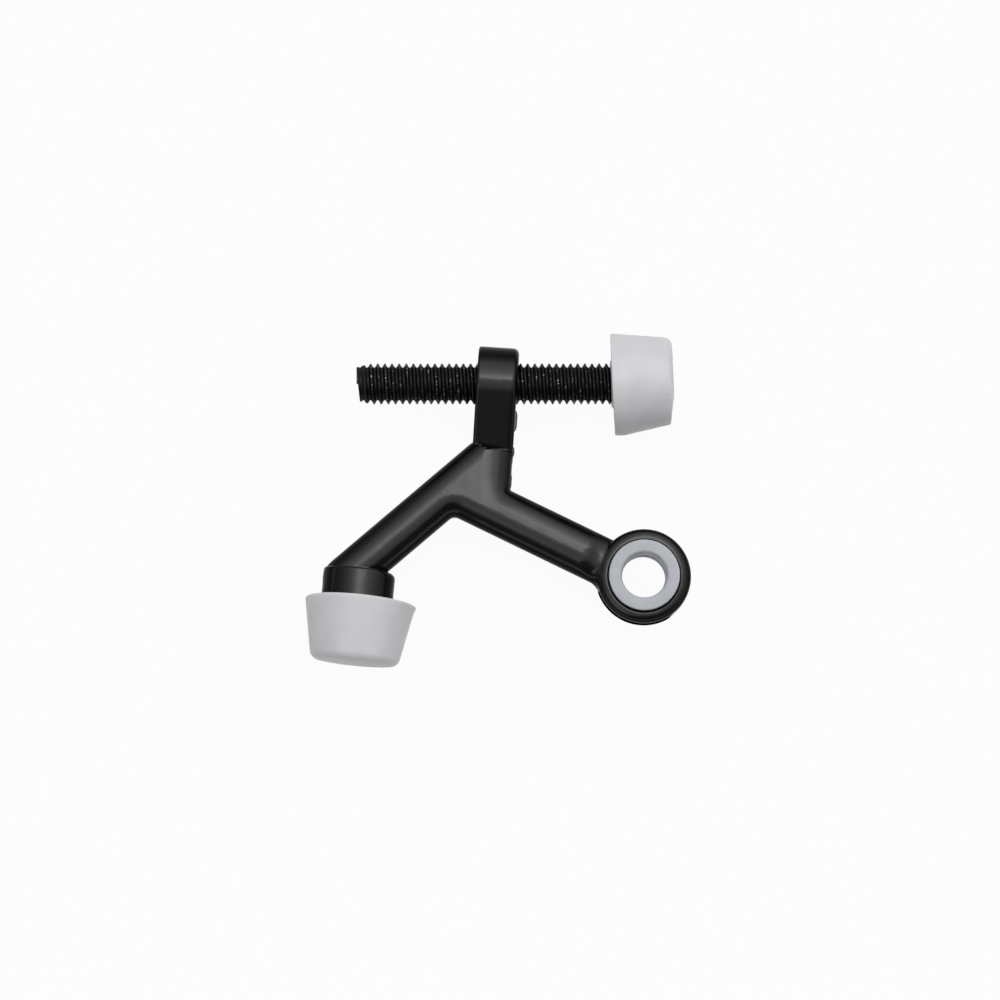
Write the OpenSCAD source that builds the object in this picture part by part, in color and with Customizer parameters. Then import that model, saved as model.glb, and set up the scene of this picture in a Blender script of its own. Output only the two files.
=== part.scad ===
// Hinge pin door stop: a cast body that hangs on a door's hinge pin,
// with a screw rod that meets the door and a rubber bumper that meets the jamb.
// The origin is the middle of the hinge pin's bore and Z runs along the pin.
// The rod lies along X, and Y points from the ring to the rod's side.

/* [Hinge ring] */
// Bore through the bushings for the hinge pin
pin_bore_d = 8.5; // [7.5:0.1:9]
// Outside diameter of the cast ring
ring_d = 18.5; // [17.5:0.1:22]
// Height of the cast ring along the pin
ring_h = 7.8; // [6.8:0.1:8.4]
// Rounding of the ring's outer edges
ring_edge_r = 2; // [1:0.1:2.1]

/* [Bushings] */
// Wall of a bushing's sleeve
bushing_wall = 1.15; // [0.8:0.05:1.4]
// Thickness of a bushing's flange
flange_t = 1; // [0.6:0.1:1.4]
// Bare ring face left outside a flange
flange_step = 2.15; // [2.15:0.05:2.3]
// Bevel on a bushing's edges
bushing_bevel = 0.25; // [0.1:0.05:0.35]

/* [Arms] */
// Diameter of the jamb arm, and thickness of the pin arm
bar_d = 8.8; // [8:0.1:9.5]
// Extra width of the pin arm over its thickness
pin_arm_extra = 0.7; // [0.3:0.1:1.5]
// Distance from the pin axis to the elbow
pin_arm_len = 41.6; // [38:0.5:50]
// Slope of the pin arm
pin_arm_angle = 26; // [22:0.5:30]
// How far the pin arm's centreline passes below the pin axis
pin_arm_drop = 0.8; // [0.4:0.1:1.2]
// Length of the jamb arm from the elbow
jamb_arm_len = 27.4; // [24:0.5:34]
// Slope of the jamb arm
jamb_arm_angle = 40.5; // [36:0.5:45]
// Inner radius of the elbow
elbow_r = 1.6; // [1:0.1:3]
// Gap between the thick part of the pin arm and a bushing's flange
arm_gap = 0.6; // [0.3:0.1:1]

/* [Collar and neck] */
// Height of the rod's axis over the pin axis
rod_rise = 38.4; // [36:0.5:44]
// Distance from the pin axis to the middle of the collar
collar_back = 28.8; // [27.4:0.2:30]
// Outside diameter of the collar
collar_d = 14.4; // [13.4:0.1:16]
// Thickness of the collar along the pin
collar_t = 16; // [14:0.1:17]
// Width of the collar and neck along the rod
neck_w = 8; // [7.2:0.1:8.6]
// Lean of the collar and neck against the rod
neck_lean = 3.7; // [0:0.1:5]
// Rounding of the collar's edges
collar_edge_r = 0.9; // [0.4:0.1:1.4]
// Rounding of the neck's corners
neck_corner_r = 2.2; // [1.4:0.1:3]
// Half thickness of the neck where its taper ends
neck_foot_t = 2.4; // [2:0.1:3]

/* [Boss] */
// Diameter of the boss that carries the jamb bumper
boss_d = 14.1; // [13:0.1:15.5]
// Bare length of the boss
boss_h = 6.2; // [5:0.2:9]
// Height of the boss's top over the end of the arm's centreline
boss_rise = 1.85; // [1.4:0.05:2.4]
// Lean of the boss from straight down
boss_lean = 5.6; // [0:0.1:8]
// Rounding of the boss's top edge
boss_edge_r = 1.2; // [0.5:0.1:1.8]
// Depth of the boss in the bumper
boss_seat = 2.6; // [2:0.1:3.2]
// Diameter of the spigot under the boss
spigot_d = 9; // [7.5:0.1:10]
// Length of the spigot under the boss
spigot_len = 4.6; // [3.8:0.1:5]

/* [Rod] */
// Thread diameter over the crests
rod_d = 7.94; // [7.5:0.02:8.2]
// Thread pitch
pitch = 1.411; // [1.2:0.001:1.6]
// Length of the rod
rod_len = 59.5; // [54:0.5:70]
// Length of rod on the far side of the collar's middle
rod_back = 27.8; // [24:0.2:34]
// Depth of the rod in the door bumper
rod_grip = 8.8; // [7.5:0.1:9.4]

/* [Bumpers] */
// Length of the door bumper
door_len = 12; // [11:0.1:14]
// Mouth diameter of the door bumper
door_mouth_d = 20.2; // [18.5:0.1:22]
// End diameter of the door bumper
door_end_d = 16.9; // [15.5:0.1:18]
// Rounding of the door bumper's end
door_corner_r = 1.3; // [0.6:0.1:2]
// Tilt of the door bumper on the rod
door_tilt = 1.8; // [0:0.1:3]
// Length of the jamb bumper
jamb_len = 12.4; // [11:0.1:14]
// Mouth diameter of the jamb bumper, stretched by the boss
jamb_mouth_d = 21.7; // [20.5:0.1:23]
// End diameter of the jamb bumper
jamb_end_d = 17.2; // [16:0.1:19]
// Rounding of the jamb bumper's end
jamb_corner_r = 1.8; // [1:0.1:2.6]
// How far the jamb bumper sits off the boss's axis
jamb_shift = 0.7; // [0:0.05:0.8]
// Rounding of a bumper's mouth
mouth_edge_r = 0.4; // [0.2:0.1:0.8]
// Height of the dome on a bumper's end
dome_h = 0.4; // [0.2:0.1:0.6]

/* [Fits] */
// Radial clearance between the rod and the holes that it turns in
rod_clearance = 0.05; // [0.03:0.01:0.08]
// Room past the rod's end inside the door bumper
rod_end_room = 0.3; // [0.2:0.05:0.5]
// Radial squeeze of a bushing in the ring
bushing_squeeze = 0.02; // [0.01:0.01:0.04]
// Squeeze of the jamb bumper on the boss
rubber_squeeze = 0.1; // [0.05:0.05:0.2]
// Gap between the two bushings' sleeves
sleeve_gap = 0.2; // [0.1:0.05:0.4]

/* [Hidden] */
$fn = 96;
// Facets of the two blended solids in the casting
blend_fn = 40;
// How far a cut runs past the solid that it cuts
overrun = 0.5;
// How far one casting surface stays under another, so that none coincide
under = 0.05;

// Finishes, as red, green and blue
satin_black = [0.07, 0.07, 0.08];
black_oxide = [0.12, 0.12, 0.12];
grey_nylon = [0.7, 0.72, 0.74];
grey_rubber = [0.8, 0.8, 0.81];

// Radii that several pieces share
pin_bore_r = pin_bore_d / 2;
ring_r = ring_d / 2;
sleeve_r = pin_bore_r + bushing_wall;
flange_r = ring_r - flange_step;
bar_r = bar_d / 2;
collar_r = collar_d / 2;
boss_r = boss_d / 2;
spigot_r = spigot_d / 2;
rod_r = rod_d / 2;
rod_hole_r = rod_r + rod_clearance;

// A unified thread has a crest flat of p/8, a root flat of p/4 and 60 degree flanks
crest_share = 1 / 8;
root_share = 1 / 4;
flank_angle = 30;
thread_depth = pitch * (1 - crest_share - root_share) / 2 / tan(flank_angle);
root_r = rod_r - thread_depth;

// Unit vector at an angle in the plane of the arms
function along(angle) = [cos(angle), sin(angle)];
// Where two lines cross, each given as a point and an angle
function crossing(p, a, q, b) =
    let (d = q - p, u = along(a), v = along(b))
    p + u * (d[0] * v[1] - d[1] * v[0]) / (u[0] * v[1] - u[1] * v[0]);

// Directions away from the ring, along each arm and down the boss
pin_arm_dir = 180 - pin_arm_angle;
jamb_arm_dir = 180 + jamb_arm_angle;
neck_dir = 90 - neck_lean;
boss_dir = 270 - boss_lean;

// Corner points of the casting, in the plane of the arms
pin_arm_foot = along(pin_arm_dir + 90) * pin_arm_drop;
elbow = pin_arm_foot + along(pin_arm_dir) * pin_arm_len;
jamb_arm_end = elbow + along(jamb_arm_dir) * jamb_arm_len;
collar_mid = [-collar_back, rod_rise];
neck_foot = crossing(collar_mid, neck_dir, elbow, pin_arm_dir);
neck_root = crossing(collar_mid, neck_dir, elbow, jamb_arm_dir);

// The thick arm stops short of the flange, and a flatter root runs on into the ring
bulge_stop = flange_r + bar_r + arm_gap;
root_t = ring_h - 2 * under;

// Two round strands side by side make the pin arm
strand = pin_arm_extra / 2;
// The elbow is part of a torus, tangent to the near side of both arms
elbow_mid_r = elbow_r + bar_r;
elbow_turn = 180 - pin_arm_angle - jamb_arm_angle;
elbow_centre = crossing(
    elbow + along(jamb_arm_dir + 90) * elbow_mid_r, jamb_arm_dir,
    elbow + along(pin_arm_dir + 90) * (elbow_mid_r + strand), pin_arm_dir
);

// The boss's outer side is flush with the arm's
boss_side = boss_dir + 90;
boss_top = jamb_arm_end + along(boss_side) * (boss_r - bar_r)
    - along(boss_dir) * boss_rise;
jamb_mouth = boss_top + along(boss_dir) * boss_h + along(boss_side) * jamb_shift;

// The rod's end and the bumper's mouth on it
rod_start = -collar_back - rod_back;
door_mouth = rod_start + rod_len - rod_grip;

// Turns a solid that points along Z to lie in the plane of the arms
module lay(point, angle) {
    translate([point[0], point[1], 0])
        rotate([0, 0, angle])
            rotate([0, 90, 0])
                children();
}

// Bar of two strands side by side, along Z, w wide over its thickness
module bar(len, extra) {
    linear_extrude(len)
        bar_section(bar_r, extra);
}

// Section of a bar of two strands of radius r
module bar_section(r, extra) {
    translate([0, extra / 2]) circle(r);
    translate([0, -extra / 2]) circle(r);
    square([2 * r, extra], center = true);
}

// Rounded rectangle, x by y
module slab(x, y, corner) {
    square([x - 2 * corner, y], center = true);
    square([x, y - 2 * corner], center = true);
    for (i = [-1, 1], j = [-1, 1])
        translate([i * (x / 2 - corner), j * (y / 2 - corner)])
            circle(corner);
}

// Disc with rounded edges, centred on Z
module round_disc(r, h, edge) {
    rotate_extrude() {
        translate([0, -h / 2]) square([r - edge, h]);
        translate([0, edge - h / 2]) square([r, h - 2 * edge]);
        for (k = [-1, 1])
            translate([r - edge, k * (h / 2 - edge)]) circle(edge);
    }
}

// Pin arm, with the flatter root that carries the ring
module pin_arm() {
    lay(pin_arm_foot + along(pin_arm_dir) * bulge_stop, pin_arm_dir)
        bar(pin_arm_len - bulge_stop, pin_arm_extra);
    for (k = [-1, 1])
        lay(
            pin_arm_foot + along(pin_arm_dir) * bulge_stop
            + along(pin_arm_dir + 90) * k * strand,
            pin_arm_dir
        )
            sphere(bar_r);
    lay(pin_arm_foot + along(pin_arm_dir) * sleeve_r, pin_arm_dir)
        linear_extrude(bulge_stop)
            intersection() {
                bar_section(bar_r - under, pin_arm_extra);
                square([root_t, bar_d + pin_arm_extra], center = true);
            }
}

// Jamb arm, carried on past the elbow to the neck
module jamb_arm() {
    lay(jamb_arm_end, jamb_arm_dir - 180)
        cylinder(r = bar_r, h = jamb_arm_len + norm(neck_root - elbow));
    translate([jamb_arm_end[0], jamb_arm_end[1], 0])
        sphere(bar_r);
}

// Rounded inside of the elbow
module elbow_bend() {
    translate([elbow_centre[0], elbow_centre[1], 0])
        rotate([0, 0, pin_arm_dir - 90])
            rotate_extrude(angle = 180 - elbow_turn)
                translate([elbow_mid_r, 0]) circle(bar_r - under);
}

// Flat web that fills the triangle between the arms and the neck, inside the neck's side
module web() {
    web_r = bar_r - under;
    side = [neck_w / 2 - under - web_r, 0];
    hull()
        for (p = [elbow, neck_foot + side, neck_root + side])
            translate([p[0], p[1], 0])
                sphere(web_r, $fn = blend_fn);
}

// Neck and collar, tapering down from the collar's full diameter
module neck() {
    scale([1, 1, collar_t / collar_d]) hull() {
        lay(collar_mid, -neck_lean)
            round_disc(collar_r, neck_w, collar_edge_r, $fn = blend_fn);
        lay(neck_foot, -neck_lean)
            round_disc(neck_foot_t, neck_w, collar_edge_r, $fn = blend_fn);
    }
    lay(neck_foot, neck_dir)
        linear_extrude(norm(collar_mid - neck_foot))
            slab(2 * (bar_r - 2 * under), neck_w - under, neck_corner_r);
}

// Boss with its rounded top, and the spigot that the jamb bumper grips
module boss() {
    boss_len = boss_h + boss_seat;
    lay(boss_top, boss_dir) {
        rotate_extrude() {
            translate([0, boss_edge_r]) square([boss_r, boss_len - boss_edge_r]);
            square([boss_r - boss_edge_r, boss_len]);
            translate([boss_r - boss_edge_r, boss_edge_r]) circle(boss_edge_r);
        }
        cylinder(r = spigot_r, h = boss_len + spigot_len);
    }
}

// The one-piece casting
module cast_body() {
    color(satin_black)
        difference() {
            union() {
                round_disc(ring_r, ring_h, ring_edge_r);
                pin_arm();
                jamb_arm();
                elbow_bend();
                web();
                neck();
                boss();
            }
            cylinder(r = sleeve_r - bushing_squeeze, h = ring_h + 2 * overrun, center = true);
            lay([rod_start, rod_rise], 0)
                cylinder(r = rod_hole_r, h = rod_len);
        }
}

// Flanged bushing on the +Z side of the ring
module bushing() {
    sleeve_end = sleeve_gap / 2;
    face = ring_h / 2 + flange_t;
    rotate_extrude()
        polygon([
            [pin_bore_r, sleeve_end],
            [sleeve_r - bushing_bevel, sleeve_end],
            [sleeve_r, sleeve_end + bushing_bevel],
            [sleeve_r, ring_h / 2],
            [flange_r, ring_h / 2],
            [flange_r, face - bushing_bevel],
            [flange_r - bushing_bevel, face],
            [pin_bore_r + bushing_bevel, face],
            [pin_bore_r, face - bushing_bevel]
        ]);
}

module upper_bushing() {
    color(grey_nylon) bushing();
}

module lower_bushing() {
    color(grey_nylon) mirror([0, 0, 1]) bushing();
}

// Screw rod: each turn is a V groove with a flat root, and both ends are chamfered
module threaded_rod() {
    turns = floor((rod_len - 2 * thread_depth) / pitch);
    first = (rod_len - turns * pitch) / 2;
    flank = pitch * (1 - crest_share - root_share) / 2;
    crest = pitch * crest_share;
    root = pitch * root_share;
    grooves = [
        for (n = [0 : turns - 1], k = [0 : 3])
            let (
                z = first + n * pitch + crest / 2
                    + [0, flank, flank + root, 2 * flank + root][k],
                r = (k == 1 || k == 2) ? root_r : rod_r
            )
            [r, z]
    ];
    color(black_oxide)
        lay([rod_start, rod_rise], 0)
            rotate_extrude()
                polygon(concat(
                    [[0, 0], [root_r, 0], [rod_r, thread_depth]],
                    grooves,
                    [[rod_r, rod_len - thread_depth], [root_r, rod_len], [0, rod_len]]
                ));
}

// Outside of a bumper, standing on its mouth: a cone with rounded edges and a domed end
module bumper_blank(len, mouth_r, end_r, corner) {
    flat = len - dome_h;
    a = atan((mouth_r - end_r) / flat);
    in_mouth = mouth_r - mouth_edge_r * (tan(a) + 1 / cos(a));
    in_end = mouth_r - (flat - corner) * tan(a) - corner / cos(a);
    dome_r = (in_end * in_end + dome_h * dome_h) / (2 * dome_h);
    rotate_extrude() {
        polygon([
            [0, 0],
            [in_mouth, 0],
            [in_mouth + mouth_edge_r * cos(a), mouth_edge_r * (1 + sin(a))],
            [in_end + corner * cos(a), flat - corner * (1 - sin(a))],
            [in_end, flat],
            [0, flat]
        ]);
        translate([in_mouth, mouth_edge_r]) circle(mouth_edge_r);
        translate([in_end, flat - corner]) circle(corner);
        intersection() {
            translate([0, len - dome_r]) circle(dome_r);
            translate([0, flat - corner]) square([in_end, corner + dome_h]);
        }
    }
}

// Bumper on the rod's end, which meets the door
module door_bumper() {
    color(grey_rubber)
        difference() {
            translate([door_mouth + door_len / 2, rod_rise, 0])
                rotate([0, 90, door_tilt])
                    translate([0, 0, -door_len / 2])
                        bumper_blank(door_len, door_mouth_d / 2, door_end_d / 2, door_corner_r);
            lay([door_mouth - overrun, rod_rise], 0)
                cylinder(r = rod_hole_r, h = rod_grip + rod_end_room + overrun);
        }
}

// Bumper on the boss, which meets the jamb
module jamb_bumper() {
    color(grey_rubber)
        difference() {
            lay(jamb_mouth, boss_dir)
                bumper_blank(jamb_len, jamb_mouth_d / 2, jamb_end_d / 2, jamb_corner_r);
            lay(boss_top + along(boss_dir) * (boss_h - overrun), boss_dir) {
                cylinder(r = boss_r - rubber_squeeze, h = boss_seat + overrun);
                cylinder(r = spigot_r - rubber_squeeze, h = boss_seat + spigot_len + overrun);
            }
        }
}

cast_body();
upper_bushing();
lower_bushing();
threaded_rod();
door_bumper();
jamb_bumper();
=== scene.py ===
"""Looks of a hinge pin door stop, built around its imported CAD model.

Lengths in the dataclasses are in millimetres and angles in degrees, in the frame of the
CAD model: Z along the hinge pin, X along the screw rod and Y from the ring to the rod.
"""

import logging
import math
from collections.abc import Sequence
from dataclasses import dataclass, field
from enum import Enum

import bpy
import numpy as np
from mathutils import Matrix, Vector

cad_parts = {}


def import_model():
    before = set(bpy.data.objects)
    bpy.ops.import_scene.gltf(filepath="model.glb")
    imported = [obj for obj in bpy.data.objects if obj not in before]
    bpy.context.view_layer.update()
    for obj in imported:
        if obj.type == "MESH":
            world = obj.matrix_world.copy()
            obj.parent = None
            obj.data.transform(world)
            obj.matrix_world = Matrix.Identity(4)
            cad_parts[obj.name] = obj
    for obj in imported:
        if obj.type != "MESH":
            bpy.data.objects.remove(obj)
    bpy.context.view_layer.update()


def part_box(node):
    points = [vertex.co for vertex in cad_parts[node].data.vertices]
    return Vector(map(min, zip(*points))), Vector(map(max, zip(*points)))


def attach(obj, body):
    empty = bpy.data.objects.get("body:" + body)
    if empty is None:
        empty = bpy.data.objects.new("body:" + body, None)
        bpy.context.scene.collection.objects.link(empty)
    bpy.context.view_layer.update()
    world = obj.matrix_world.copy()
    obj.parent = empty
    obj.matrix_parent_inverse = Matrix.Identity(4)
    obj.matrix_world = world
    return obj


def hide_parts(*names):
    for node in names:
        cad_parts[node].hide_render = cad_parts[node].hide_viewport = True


MM = 0.001
TINY = 1e-6
LOG = logging.getLogger("door_stop")

Array = np.ndarray
Point = tuple[float, float]
Colour = tuple[float, float, float]
Places = Sequence[Array]
Faces = list[list[int]]
Material = bpy.types.Material
Piece = bpy.types.Object
Socket = bpy.types.NodeSocket


class Body(Enum):
    """Bodies of the CAD model that the pieces ride on."""

    CASTING = "casting"
    CAP = "door_cap"
    ROD = "rod"


class Slot(Enum):
    """Material slots of the record."""

    CASTING = "black_casting"
    NYLON = "grey_nylon"
    STEEL = "black_steel"
    RUBBER = "grey_rubber"


# Plane geometry


def along(angle: float) -> Array:
    """Unit vector in the plane of the arms at an angle."""
    turn = math.radians(angle)
    return np.array([math.cos(turn), math.sin(turn)])


def measure(x: Array, y: Array, start: Array, angle: float) -> Array:
    """How far points lie from a start, measured along an angle."""
    way = along(angle)
    return (x - start[0]) * way[0] + (y - start[1]) * way[1]


def ease(value: Array, start: float, end: float) -> Array:
    """Share that rises from 0 at the start to 1 at the end, level at both."""
    share = np.clip((value - start) / (end - start), 0, 1)
    return share * share * (3 - 2 * share)


def crossing(p: Array, a: float, q: Array, b: float) -> Array:
    """Point where two lines cross.

    Args:
        p: A point on the first line.
        a: Angle of the first line.
        q: A point on the second line.
        b: Angle of the second line.

    Returns:
        The crossing point.
    """
    d, u, v = q - p, along(a), along(b)
    return p + u * (d[0] * v[1] - d[1] * v[0]) / (u[0] * v[1] - u[1] * v[0])


def arc(middle: Point, radius: float, start: float, end: float, steps: int) -> list[Point]:
    """Points along an arc.

    Args:
        middle: The arc's middle.
        radius: Its radius.
        start: Angle of its first point.
        end: Angle of its last point.
        steps: Segments between them.

    Returns:
        The points.
    """
    turns = np.radians(np.linspace(start, end, steps + 1))
    return [(middle[0] + radius * math.cos(a), middle[1] + radius * math.sin(a)) for a in turns]


def rounded_outline(corners: Sequence[tuple[Array, float]], steps: int) -> Array:
    """Closed outline through corners, each rounded by an arc.

    Args:
        corners: Corner points with the radius of each.
        steps: Segments in each arc.

    Returns:
        Points of the outline, one a row.
    """
    points = []
    for i, (corner, radius) in enumerate(corners):
        before, after = corners[i - 1][0], corners[(i + 1) % len(corners)][0]
        u = (before - corner) / np.linalg.norm(before - corner)
        v = (after - corner) / np.linalg.norm(after - corner)
        half = math.acos(float(np.clip(u @ v, -1, 1))) / 2
        middle = corner + (u + v) / np.linalg.norm(u + v) * radius / math.sin(half)
        start = corner + u * radius / math.tan(half) - middle
        end = corner + v * radius / math.tan(half) - middle
        sweep = math.atan2(start[0] * end[1] - start[1] * end[0], start @ end)
        for t in np.linspace(0, sweep, steps + 1):
            c, s = math.cos(t), math.sin(t)
            points.append(middle + [start[0] * c - start[1] * s, start[0] * s + start[1] * c])
    return np.array(points)


# Signed distances, negative inside


def outline_distance(outline: Array, x: Array, y: Array) -> Array:
    """Distance in the plane from points to a closed outline.

    Args:
        outline: Points of the outline, one a row.
        x: First coordinates of the points.
        y: Second coordinates of the points.

    Returns:
        The signed distances.
    """
    best = np.full(np.broadcast(x, y).shape, np.inf)
    inside = np.zeros(best.shape, bool)
    for (ax, ay), (bx, by) in zip(outline, np.roll(outline, -1, 0)):
        ex, ey = bx - ax, by - ay
        share = np.clip(((x - ax) * ex + (y - ay) * ey) / (ex * ex + ey * ey + TINY**2), 0, 1)
        best = np.minimum(best, (x - ax - share * ex) ** 2 + (y - ay - share * ey) ** 2)
        if ey != 0:
            inside ^= ((ay > y) != (by > y)) & (x < ax + (y - ay) * ex / ey)
    return np.where(inside, -1, 1) * np.sqrt(best)


def blend(a: Array, b: Array, radius: float | Array) -> Array:
    """Union of two solids with a fillet of the radius where they meet."""
    u, v = np.maximum(radius - a, 0), np.maximum(radius - b, 0)
    return np.maximum(radius, np.minimum(a, b)) - np.hypot(u, v)


def meet(a: Array, b: Array, radius: float | Array) -> Array:
    """Part that two solids share, with its edge rounded to the radius."""
    u, v = np.maximum(radius + a, 0), np.maximum(radius + b, 0)
    return np.minimum(-radius, np.maximum(a, b)) + np.hypot(u, v)


def inflate(outline: Array, z: Array, radius: float) -> Array:
    """Solid of an outline with half-round edges, flat where it is wider than a bar."""
    return np.hypot(np.maximum(outline + radius, 0), z) - radius


def taper(t: Array, z: Array, length: float, foot: float, head: float) -> Array:
    """Distance to a round-ended wedge: a small circle and a larger one, joined by tangents.

    Args:
        t: Distance along the wedge from its small end's middle.
        z: Distance across it.
        length: Distance between the circles' middles.
        foot: Radius of the small circle.
        head: Radius of the large circle.

    Returns:
        The signed distance.
    """
    z, s = np.abs(z), (head - foot) / length
    c = math.sqrt(1 - s * s)
    place = t * c + z * s
    at_foot, at_head = np.hypot(t, z) - foot, np.hypot(t - length, z) - head
    side = z * c - t * s - foot
    return np.where(place < 0, at_foot, np.where(place > c * length, at_head, side))


# Meshes


def make_object(name: str, points: Array, faces: Faces, material: Material) -> Piece:
    """Smooth mesh object at the origin.

    Args:
        name: Name of the piece.
        points: Vertices in millimetres.
        faces: Vertex numbers of each face.
        material: Its finish.

    Returns:
        The object, linked to the scene.
    """
    mesh = bpy.data.meshes.new(name)
    mesh.from_pydata(np.asarray(points) * MM, [], faces)
    mesh.validate()
    mesh.shade_smooth()
    mesh.materials.append(material)
    return link_object(name, mesh)


def link_object(name: str, data: bpy.types.ID) -> Piece:
    """Object of a mesh or a camera, linked to the scene."""
    piece = bpy.data.objects.new(name, data)
    bpy.context.scene.collection.objects.link(piece)
    return piece


def surface_net(values: Array, low: Array, cell: float) -> tuple[Array, Array]:
    """Quads along the zero surface of a grid of signed distances.

    Args:
        values: Distances at the grid's points, negative inside.
        low: The grid's lowest corner.
        cell: The grid's step.

    Returns:
        Points of the surface and the quads that join them.
    """
    inside = values < 0
    corners = np.array([(i, j, k) for i in (0, 1) for j in (0, 1) for k in (0, 1)])
    count = sum(
        inside[i : i - 1 or None, j : j - 1 or None, k : k - 1 or None].astype(np.int8)
        for i, j, k in corners
    )
    cells = np.argwhere((count > 0) & (count < len(corners)))
    number = np.full(count.shape, -1)
    number[tuple(cells.T)] = np.arange(len(cells))
    total, hits = np.zeros((len(cells), 3)), np.zeros((len(cells), 1))
    for a in corners:
        for b in corners:
            if (b - a).min() < 0 or (b - a).sum() != 1:
                continue
            va, vb = values[tuple((cells + a).T)], values[tuple((cells + b).T)]
            cut = (va < 0) != (vb < 0)
            share = np.where(cut, va / np.where(cut, va - vb, 1), 0)[:, None]
            total += cut[:, None] * (a + share * (b - a))
            hits += cut[:, None]
    quads = []
    for axis in range(3):
        u, v = (axis + 1) % 3, (axis + 2) % 3
        last = np.roll(inside, -1, axis)
        crossed = inside != last
        crossed[tuple(slice(-1, None) if d == axis else slice(None) for d in range(3))] = False
        edges = np.argwhere(crossed)
        step_u, step_v = np.eye(3, dtype=int)[u], np.eye(3, dtype=int)[v]
        ring = [edges - step_u - step_v, edges - step_v, edges, edges - step_u]
        quad = np.stack([number[tuple(r.T)] for r in ring], 1)
        outward = inside[tuple(edges.T)]
        quads.append(np.where(outward[:, None], quad, quad[:, ::-1]))
    return low + (cells + total / hits) * cell, np.concatenate(quads)


def lathe(profile: Sequence[Point], segments: int) -> tuple[Array, Faces]:
    """Surface of revolution about Z.

    Args:
        profile: Points (radius, height), outside surface on their right. It may be closed.
        segments: Facets round the axis.

    Returns:
        Points and faces. A point on the axis is made once.
    """
    points, rings = [], []
    for r, h in profile:
        if r < TINY:
            rings.append([len(points)] * segments)
            points.append((0.0, 0.0, h))
            continue
        rings.append(list(range(len(points), len(points) + segments)))
        for a in np.linspace(0, 2 * math.pi, segments, endpoint=False):
            points.append((r * math.cos(a), r * math.sin(a), h))
    faces = []
    closed = profile[0][0] > TINY
    pairs = list(zip(rings, rings[1:])) + ([(rings[-1], rings[0])] if closed else [])
    for low, high in pairs:
        for i in range(segments):
            j = (i + 1) % segments
            face = [low[i], low[j], high[j], high[i]]
            faces.append([v for n, v in enumerate(face) if v not in face[:n]])
    return np.array(points), faces


def turn_to(points: Array, origin: Array, direction: float) -> Array:
    """Points of a lathe about Z, laid in the plane of the arms.

    Args:
        points: Points about the Z axis.
        origin: Where the lathe's own origin goes.
        direction: Angle in the plane that its Z axis points at.

    Returns:
        The turned points.
    """
    axis, side = along(direction), along(direction + 90)
    flat = np.outer(points[:, 2], axis) + np.outer(points[:, 1], side) + origin
    return np.column_stack([flat, points[:, 0]])


# Node trees


class Nodes:
    """Node tree with short ways to add and link its nodes."""

    def __init__(self, tree: bpy.types.NodeTree) -> None:
        """Works on that tree."""
        self.tree = tree

    def feed(self, socket: Socket, value: object) -> None:
        """Links an input to the socket that it is given, or else sets its value."""
        if isinstance(value, bpy.types.NodeSocket):
            self.tree.links.new(value, socket)
        else:
            socket.default_value = value

    def add(self, kind: str, inputs: dict | None = None, **settings: object) -> bpy.types.Node:
        """Adds a node.

        Args:
            kind: The node's type.
            inputs: Names or numbers of inputs with the value or socket that each takes.
            settings: Properties of the node itself.

        Returns:
            The node.
        """
        node = self.tree.nodes.new(kind)
        for key, value in settings.items():
            setattr(node, key, value)
        for key, value in (inputs or {}).items():
            self.feed(node.inputs[key], value)
        return node

    def math(self, operation: str, *values: object) -> Socket:
        """Result of a Math node on those values or sockets."""
        inputs = dict(enumerate(values))
        return self.add("ShaderNodeMath", inputs, operation=operation).outputs[0]


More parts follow.
